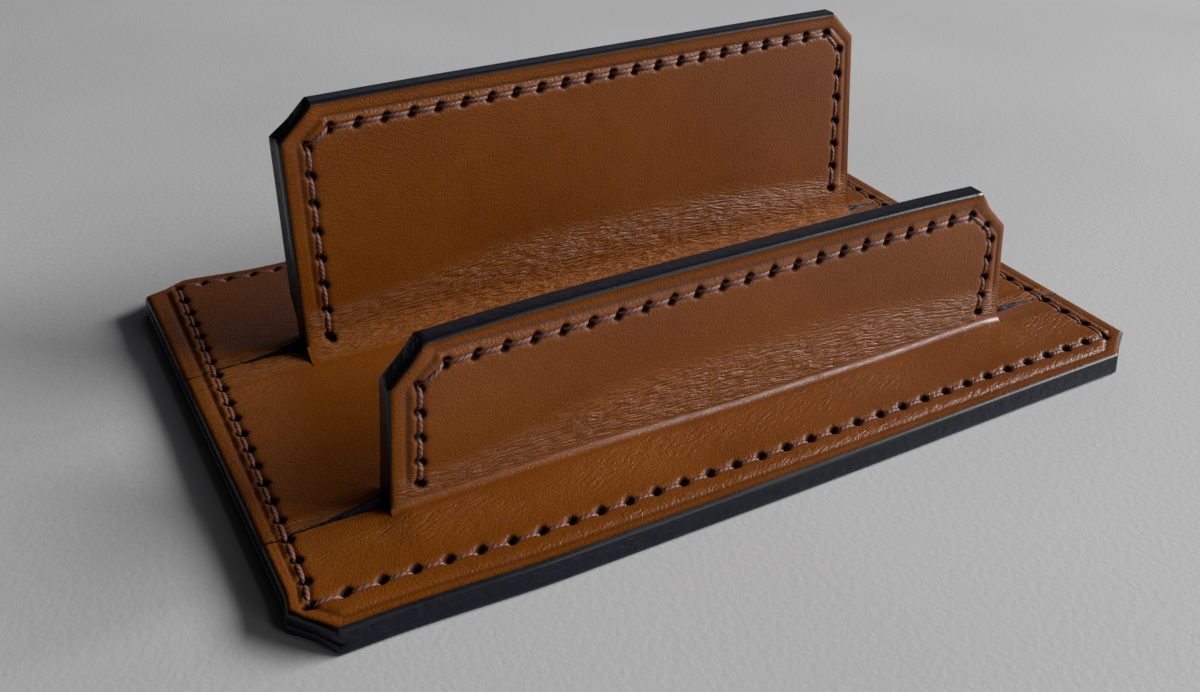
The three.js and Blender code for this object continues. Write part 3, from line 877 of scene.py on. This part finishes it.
def press(facts, flat):
    """Depth below the flat grain surface at each point, in millimetres, and how much of it is the
    pressed strip, which the cut edge follows."""
    line, seam, hole = facts["line"], facts["seam"], facts["hole"]
    hole = hole + 0.07 * noise_at(flat, 2.1, 2.1, 4.4)
    at_foot = np.where(facts["region"] >= 0, smooth_step(facts["climb"], -1.0, 5.0), 1.0)
    groove = at_foot * np.exp(-(line / crease_width) ** 2)
    flank = np.clip(1 - line / valley_reach, 0, 1)
    pressed = at_foot * facts["valley"] * (0.4 * flank + 0.6 * smooth_step(flank, 0, 1))
    sink = stitch_sink * np.exp(-(seam / stitch_sink_width) ** 2)
    sink += hole_sink * np.exp(-(np.maximum(hole, 0) / 0.3) ** 2)
    pit = pit_depth * (1 - smooth_step(hole, -0.25, 0.03)) + 0.05 * (1 - smooth_step(hole, 0, 0.2))
    weight = wrinkle_weight(facts, flat)
    fanned = np.stack([flat[:, 0], facts["fan"]], axis=1)
    buckled = noise_at(fanned, 0.45, 1.5, 3.1)
    pulled = at_foot * np.exp(-((line - 0.8) / 0.5) ** 2) * (facts["region"] < 0)
    pulled *= smooth_step(np.abs(facts["local"][:, 0]), 0.3, 1.2) * smooth_step(flat[:, 0], -52, -25)
    crinkled = noise_at(fanned, 0.6, 1.6, 5.2)
    drift = unevenness * noise_at(flat, 0.07, 0.07, 7.7)
    lip = seam_lip * 0.7 * np.clip(1 - facts["lip"] / seam_lip, 0, 1)
    facts["crease"] = groove
    facts["wrinkle"] = weight
    facts["crinkle"] = 0.32 * pulled
    depth = crease_depth * groove + sink + pit + drift + lip
    depth += weight * wrinkle_depth * buckled + crinkle_depth * pulled * crinkled
    depth *= smooth_step(facts["edge"], arris_radius, arris_radius + 0.35)
    return depth + lip * (facts["edge"] < 0.7) + pressed, pressed


def snap_to_slits(facts, flat, reach):
    """Moves points that lie next to a slit's outline onto it, so that its rim is clean."""
    near = np.abs(facts["hole"]) < reach
    flat[near, :2] -= facts["hole"][near, None] * facts["away"][near]
    facts["hole"][near] = 0.0


# %% [markdown]
# The last step bends the flat strip. A point keeps its depth below the grain side. Before the fold it
# stays where it is, inside the fold it turns about the fold's axis, and past it it climbs the wall.
#
# Leather resists being bent across a cut, so beside each foot the tab behind the wall is dragged up a
# little by the fold. Its painted cut edge then shows as a black wedge that tapers along the seam. At
# the sharp front fold the leather springs clear of the panel at both ends, by half a millimetre.
# The edges were trimmed by hand: the front edge bows out, the tops of the walls are slightly crowned,
# and on the left and at the front the trimmed edge leans, so that it is widest at the desk.

# %% Folding and the hand-made irregularities
lift_length = 3.3
lift_depth = 4.5


def tab_lift(strip, flat):
    """How far the tabs behind the walls are dragged up beside the walls' feet."""
    lift = np.zeros(len(flat))
    for fold in strip["folds"]:
        if fold.heading > 0:
            continue
        aside = np.abs(flat[:, 0]) - fold.foot(flat[:, 0])
        behind = np.abs(flat[:, 1] - fold.seam)
        most = np.where(flat[:, 0] < 0, *fold.wall["lift"])
        fall = np.exp(-np.maximum(aside, 0) / lift_length) * (1 - smooth_step(aside, 6, 12))
        lift += most * fall * (1 - smooth_step(behind, 0, lift_depth)) * (aside > 0)
    return lift


def fold_up(strip, flat, facts, depth):
    """Places of all points in the holder, in millimetres."""
    x, s = flat[:, 0], flat[:, 1]
    lift = np.where(facts["region"] < 0, tab_lift(strip, flat), 0)
    out = np.stack([x, s, base_top - depth + lift], axis=1)
    for k, fold in enumerate(strip["folds"]):
        on = facts["region"] == k
        travel = fold.travel(s)[on]
        bend = np.clip(travel / fold.reach, 0, 1) * math.pi / 2
        radius = fold.radius + depth[on]
        height = np.maximum(travel - fold.reach, 0)
        out[on, 0] = facts["place"][on, 0]
        out[on, 1] = fold.start + fold.heading * radius * np.sin(bend)
        out[on, 2] = fold.level - radius * np.cos(bend) + height
    return out


front_bow = 0.8
front_flare = 0.68
flare_loss = 0.6
rear_sweep = 1.3
left_skew = 0.0225
left_offset = 0.28
left_lean = 0.6
corner_flare = 0.6
right_offset = 0.3
back_widening = 0.5


def by_hand(points):
    """Small irregularities of hand work, the same for every piece, so that all still fit."""
    x, y, z = points.T
    low = np.clip((base_top - z) / base_top, 0, 1)

    # The base's front edge bows out and leans, and its rear edge was trimmed shorter
    bulge = smooth_step(x, -50, -30) * (1 - 0.65 * smooth_step(x, -5, 55))
    bow = front_bow * bulge * smooth_step(-y, 28, 34.5) + 0.08 * smooth_step(-y, 36.4, 38.6)
    flare = smooth_step(-y, 36.8, 39) * (front_flare - flare_loss * x / base_width) * low
    sweep = rear_sweep * smooth_step(y, 29, 37.5) * (1 - smooth_step(x, -56, -42))

    # The left edge runs askew and leans, and the front left corner flares
    at_left = smooth_step(-x, 56.5, 58.3)
    skew = at_left * (left_skew * y + left_offset)
    lean = at_left * left_lean * low
    lean += corner_flare * smooth_step(-y, 31, 36) * smooth_step(-x, 49, 54)
    wide = smooth_step(x, 56.6, 58.3) * right_offset

    # At the ends of the front fold the leather springs up
    near_fold = smooth_step(y, -33.5, -26.2) * (1 - smooth_step(y, -25.3, -24.1)) * smooth_step(z, 1.5, 2.8)
    near_fold *= (1 - smooth_step(z, 4.0, 9.5)) * (1 - smooth_step(np.abs(x), 42, 46.5))
    rise = (-0.09 + 0.55 * smooth_step(-x, -4, 20) + 0.45 * smooth_step(x, 20, 44)) * near_fold

    # The walls' tops are crowned, and the rear wall's back leather is a little wider at the left
    crown = np.zeros(len(x))
    for wall in WALLS.values():
        top = smooth_step(z, wall["height"] - 2.0, wall["height"] - 0.1) * (np.abs(y - wall["y"]) < 3)
        crown += wall["crown"] * (1 - np.clip((x - 3) / 47, -1, 1) ** 4) * top
    back = smooth_step(y, 12.3, 13.4) * (1 - smooth_step(y, 14.0, 16.0)) * smooth_step(z, 6, 12)
    wider = back_widening * back * smooth_step(-x, 41.5, 43.2)
    return np.stack([x - skew - lean + wide - wider, y - bow - flare + sweep, z + rise + crown], axis=1)


def store(mesh, name, values):
    layer = mesh.attributes.new(name, "FLOAT", "POINT")
    layer.data.foreach_set("value", np.asarray(values, np.float32))


def make_object(name, sheet, materials):
    mesh = bpy.data.meshes.new(name)
    sheet.to_mesh(mesh)
    sheet.free()
    for material in materials:
        mesh.materials.append(material)
    piece = bpy.data.objects.new(name, mesh)
    bpy.context.scene.collection.objects.link(piece)
    mesh.polygons.foreach_set("use_smooth", [True] * len(mesh.polygons))
    mesh.set_sharp_from_angle(angle=math.radians(62))
    return piece


def add_flat_uv(mesh, flat):
    layer = mesh.uv_layers.new(name="flat")
    corner = np.empty(len(mesh.loops), np.int32)
    mesh.loops.foreach_get("vertex_index", corner)
    shares = (flat[corner, :2] + UV_SPAN / 2) / UV_SPAN
    layer.data.foreach_set("uv", shares.astype(np.float32).ravel())


def black_at_seam(strip, flat, facts):
    """Edge paint that ran along the seams on the base: a thin line, wider beside the walls' feet."""
    x, s = np.abs(flat[:, 0]), flat[:, 1]
    paint = np.zeros(len(flat))
    ragged = 0.06 * noise_at(flat, 1.3, 1.3, 2.2)
    for fold in strip["folds"]:
        foot = fold.foot(flat[:, 0])
        width = 0.16 + 0.25 * (1 - smooth_step(x - foot, 0, 7)) + ragged
        gap = np.abs(s - fold.seam)
        line = (1 - smooth_step(gap, width * 0.7, width + 0.05)) * (x > foot)
        paint = np.maximum(paint, line)
    return paint * (facts["region"] < 0)


def make_facing(name, strip):
    sheet = cut_sheet(strip["corners"], facing_thickness, strip["folds"])
    slice_sheet(sheet, 0, steps(-base_width / 2, base_width / 2, cell))
    slice_sheet(sheet, 1, slice_places(strip))
    divide(sheet, strip, in_band)
    divide(sheet, strip, at_detail)
    for face in sheet.faces:
        x, s, _ = face.calc_center_median()
        if any(in_lower_fold(fold, np.array(x), s) for fold in strip["folds"]):
            face.material_index = 0
    flat = np.array([v.co for v in sheet.verts])
    facts = measure(strip, flat)
    on_grain = flat[:, 2] > -1e-5
    facts["hole"] = np.where(on_grain, facts["hole"], far_away)
    snap_to_slits(facts, flat, cell / 9)
    facts = {**measure(strip, flat), "hole": facts["hole"]}
    depth, pressed = press(facts, flat)
    depth = np.where(on_grain, depth, pressed * (flat[:, 2] > -1) - flat[:, 2])
    folded = by_hand(fold_up(strip, flat, facts, depth))
    for vertex, place in zip(sheet.verts, folded):
        vertex.co = place * MM
    piece = make_object(name + "_leather", sheet, [LEATHER, PAINT])
    add_flat_uv(piece.data, flat)
    marks = {"edge_mm": np.maximum(facts["edge"], 0), "hole_mm": np.clip(facts["hole"], -1, 5),
             "slit_along": np.clip(np.abs(facts["local"][:, 0]), 0, 5),
             "slit_across": np.clip(facts["local"][:, 1], -5, 5), "lap_mm": facts["lap"],
             "fan_mm": facts["fan"], "crease": facts["crease"], "wrinkle": facts["wrinkle"],
             "crinkle": facts["crinkle"], "depth_mm": -flat[:, 2], "polish": polished(facts, flat),
             "paint": black_at_seam(strip, flat, facts)}
    for mark, values in marks.items():
        store(piece.data, mark, values)
    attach(piece, "root")
    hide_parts(name)
    print(name, len(piece.data.polygons), "faces")


for name, strip in STRIPS.items():
    make_facing(name, strip)

# %% [markdown]
# The panel is the same kind of sheet without folds, laid grain side down. Its stitches lie in a groove,
# cut so that the thread doesn't wear on the desk.

# %% Base panel
groove_half = 0.8
groove_depth = 0.7
panel_pit_depth = 0.6
panel_cell = 1.5 * cell


def make_panel():
    outline = [(x, -y) for x, y in base_outline()]
    strip = {"folds": [], "corners": outline}
    sheet = cut_sheet(outline, panel_thickness, [])
    for face in sheet.faces:
        face.material_index = 0 if abs(face.normal.z) > 0.999 else 1
    slice_sheet(sheet, 0, steps(-base_width / 2, base_width / 2, panel_cell))
    slice_sheet(sheet, 1, steps(-base_depth / 2, base_depth / 2, panel_cell))
    divide(sheet, strip, lambda facts: facts["seam"] < 2.2)
    divide(sheet, strip, lambda facts: facts["seam"] < 1.4)
    flat = np.array([v.co for v in sheet.verts])
    facts = measure(strip, flat * np.array((1, -1, 1)))
    on_grain = flat[:, 2] > -1e-5
    groove = groove_depth * (1 - smooth_step(facts["seam"], groove_half - 0.25, groove_half + 0.1))
    pit = panel_pit_depth * (1 - smooth_step(facts["hole"], -0.25, 0.1))
    depth = np.where(on_grain, groove + pit, -flat[:, 2])
    laid = by_hand(np.stack([flat[:, 0], -flat[:, 1], depth], axis=1))
    for vertex, place in zip(sheet.verts, laid):
        vertex.co = place * MM
    piece = make_object("base_panel_leather", sheet, [PANEL, PAINT])
    add_flat_uv(piece.data, flat)
    store(piece.data, "depth_mm", -flat[:, 2])
    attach(piece, "root")
    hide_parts("base_panel")
    print("base_panel", len(piece.data.polygons), "faces")


make_panel()

# %% [markdown]
# Saddle stitching uses one thread with a needle on each end. Both ends go through every hole from
# opposite sides, so there is a stitch on both faces over every step. The thread leaves a slanted slit at
# one end of it and arrives at the other end of the next, which gives the stitches their slant. At the
# ends of a wall's seam the maker goes back one stitch to lock it, so that stitch is double.
#
# The thread is one tube. A ring is extruded from station to station along the path: flat and wide where
# it lies on the leather, thin where it dives into a hole. A station of stitch_profile is how far along
# the stitch it is, how high it stands above the thread's level and how full the thread is there.

# %% Thread
ring_sides = 8
thread_width = 0.64
thread_height = 0.46
hole_offset = 0.2
outward_lean = 0.1
twin_offset = 0.3
stitch_bow = 0.06
stitch_profile = [(0.0, -1.35, 0.7), (0.05, -1.0, 0.72), (0.11, -0.62, 0.78), (0.18, -0.26, 0.9),
                  (0.28, -0.04, 1.0), (0.42, 0.05, 1.0), (0.58, 0.05, 1.0), (0.72, -0.04, 1.0),
                  (0.82, -0.26, 0.9), (0.89, -0.62, 0.78), (0.95, -1.0, 0.72), (1.0, -1.35, 0.7)]


def one_stitch(seam, i, j, on_face, offsets):
    """Stations of one stitch from hole i to hole j, as centre, width and height."""
    (a, _, slit_a), (b, _, slit_b) = seam["holes"][i], seam["holes"][j]
    start = a + slit_a * offsets[0]
    end = b + slit_b * offsets[1]
    heading = (end - start).normalized()
    along = (b - a).normalized() * (1 if j > i else -1)
    start, end = (p + Vector((along.y, -along.x)) * seam["lean"] for p in (start, end))
    outward = 1 if on_face else -1
    level = seam["face"] if on_face else seam["back"]
    stations = []
    for share, lift, fullness in stitch_profile:
        place = start.lerp(end, share)
        bow = stitch_bow * math.sin(share * 2 * math.pi)
        place = place + Vector((-heading.y, heading.x)) * bow
        centre = Vector((place.x, place.y, level + outward * (lift + seam["rise"](place))))
        stations.append((centre, thread_width * fullness, thread_height * fullness))
    return stations


def strand(seam, visits, on_face):
    stations = []
    last = len(seam["holes"]) - 1
    for i, j in zip(visits, visits[1:]):
        doubled = visits.count(i) > 1 and visits.count(j) > 1 and not seam["closed"]
        offsets = (-hole_offset, hole_offset) if on_face else (hole_offset, -hole_offset)
        if doubled:
            side = twin_offset if j > i else -twin_offset
            offsets = [side if visits.count(k) > 1 and k in (0, last) else side * 0.5 for k in (i, j)]
        stations += one_stitch(seam, i, j, on_face, offsets)
        on_face = not on_face
    return stations


def tube(stations):
    """One closed tube through all stations."""
    mesh = bmesh.new()
    around = mesh.verts.layers.float.new("around")
    length = mesh.verts.layers.float.new("length")
    ring = bmesh.ops.create_circle(mesh, cap_ends=True, segments=ring_sides, radius=0.5)["verts"]
    travelled = 0.0
    shape = [v.co.copy() for v in ring]
    for n, (centre, width, height) in enumerate(stations):
        before = stations[max(n - 1, 0)][0]
        after = stations[min(n + 1, len(stations) - 1)][0]
        tangent = (after - before).normalized()
        side = Vector((-tangent.y, tangent.x, 0))
        side = side.normalized() if side.length > 0.05 else last_side
        last_side = side
        up = tangent.cross(side)
        if n > 0:
            travelled += (centre - before).length
            edges = {e for v in ring for e in v.link_edges if e.other_vert(v) in ring}
            grown = bmesh.ops.extrude_edge_only(mesh, edges=list(edges))["geom"]
            fresh = [g for g in grown if isinstance(g, bmesh.types.BMVert)]
            ring = sorted(fresh, key=lambda v: v[around])
        for k, (vertex, place) in enumerate(zip(ring, shape)):
            vertex.co = centre + side * place.x * width + up * place.y * height
            vertex[around] = k / ring_sides
            vertex[length] = travelled
    bmesh.ops.contextual_create(mesh, geom=ring)
    bmesh.ops.recalc_face_normals(mesh, faces=mesh.faces[:])
    return mesh


def add_thread_uv(mesh):
    uv = mesh.loops.layers.uv.new("thread")
    around = mesh.verts.layers.float["around"]
    length = mesh.verts.layers.float["length"]
    for face in mesh.faces:
        wraps = max(v[around] for v in face.verts) > 0.8
        for loop in face.loops:
            share = loop.vert[around]
            loop[uv].uv = (share + 1 if wraps and share < 0.2 else share, loop.vert[length])


def make_thread(name, seam):
    last = len(seam["holes"]) - 1
    visits = list(range(last + 1)) if seam["closed"] else [1, *range(last + 1), last - 1]
    first = strand(seam, visits, True)
    second = strand(seam, visits, False)
    stations = first[::-1] + second
    length = sum((b[0] - a[0]).length for a, b in zip(stations, stations[1:]))
    mesh = tube(stations)
    add_thread_uv(mesh)
    placed = by_hand(np.array([seam["frame"] @ v.co for v in mesh.verts]))
    for vertex, place in zip(mesh.verts, placed):
        vertex.co = place * MM
    piece = make_object(name + "_waxed", mesh, [THREAD])
    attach(piece, "root")
    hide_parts(name)
    print(name, len(piece.data.polygons), "faces,", round(length), "mm of thread")


def seam_frame(wall):
    return Matrix.Translation((0, wall["y"] - facing_thickness, 0)) @ Matrix.Rotation(math.pi / 2, 4, "X")


def bend_rise(wall):
    """How far the fold's curve stands out from the wall's plane at a place of the seam."""
    radius = wall["radius"][1]

    def rise(place):
        below = min(max(base_top + radius - place.y, 0), radius)
        return radius - math.sqrt(radius ** 2 - below ** 2)

    return rise


thread_level = -0.2
base_thread_level = -0.28
groove_thread_level = groove_depth - base_top - 0.1
make_thread("base_thread", {"holes": HOLES["base"], "closed": True, "face": base_thread_level,
                            "back": groove_thread_level, "rise": lambda place: 0,
                            "lean": outward_lean, "frame": Matrix.Translation((0, 0, base_top))})
for side, wall in WALLS.items():
    make_thread(side + "_upright_thread", {"holes": HOLES[side], "closed": False, "face": thread_level,
                                           "back": -2 * facing_thickness - thread_level,
                                           "rise": bend_rise(wall), "lean": 0.0,
                                           "frame": seam_frame(wall)})

# %% [markdown]
# The desk is pale, matt and faintly textured, and far larger than the view, so a plain grid with a
# noise bump is enough.

# %% Desk
def desk_finish():
    material, tree, shader = new_material("pale_matt_desk")
    place = solid_millimetres(tree)
    tooth = add(tree, "TexNoise", Vector=place, Scale=1.2, Detail=4.0, Roughness=0.6)
    drift = add(tree, "TexNoise", Vector=place, Scale=0.01, Detail=2.0)
    colour = ramp(tree, drift.outputs["Fac"], [(0.3, "#bebdbb"), (0.7, "#c8c8c7")])
    bump = add(tree, "Bump", Strength=0.25, Distance=0.0002, Height=tooth.outputs["Fac"])
    plug(tree, shader, Base_Color=colour, Roughness=0.7, Normal=bump.outputs[0])
    return material


desk_half = 4.0
desk_mesh = bmesh.new()
bmesh.ops.create_grid(desk_mesh, x_segments=2, y_segments=2, size=desk_half)
desk = make_object("desk", desk_mesh, [desk_finish()])
print("desk", 2 * desk_half, "m wide")

# %% [markdown]
# A broad low window at the right lights the holder, so the walls throw long soft shadows to the left. A
# second, weaker and lower one at the front right reaches the faces of the walls. The small lamp high up
# is what the upper arrises and the folds mirror, and a dim far wall is mirrored in the leather that lies
# flat. Almost nothing fills the shadows. Area lights are used for all, because their size is what sets
# how soft a shadow and how wide a highlight is.

# %% Lights
def soft_light(name, place, target, size, power, colour):
    data = bpy.data.lights.new(name, "AREA")
    data.shape = "RECTANGLE"
    data.size, data.size_y = size
    data.energy = power
    data.color = linear(colour)[:3]
    lamp = bpy.data.objects.new(name, data)
    lamp.location = place
    lamp.rotation_euler = (Vector(target) - Vector(place)).to_track_quat("-Z", "Y").to_euler()
    bpy.context.scene.collection.objects.link(lamp)


soft_light("window", (2.592, -0.818, 1.268), (0, 0, 0.01), (2.1, 0.9), 156.0, "#fdfdff")
soft_light("second_window", (0.455, -1.072, 0.29), (0, 0, 0.01), (0.36, 0.36), 1.7, "#fdfdff")
soft_light("lamp", (0.44, -0.54, 0.85), (0, 0, 0), (0.1, 0.1), 0.3, "#f2f4ff")
soft_light("far_wall", (0.52, 0.9, 0.6), (0, 0, 0), (0.9, 0.6), 0.6, "#e8ecff")

world = bpy.data.worlds.new("room")
world.use_nodes = True
room = world.node_tree.nodes["Background"]
room.inputs["Color"].default_value = linear("#d2cdc9")
room.inputs["Strength"].default_value = 0.012
bpy.context.scene.world = world
print("lights and room are set")
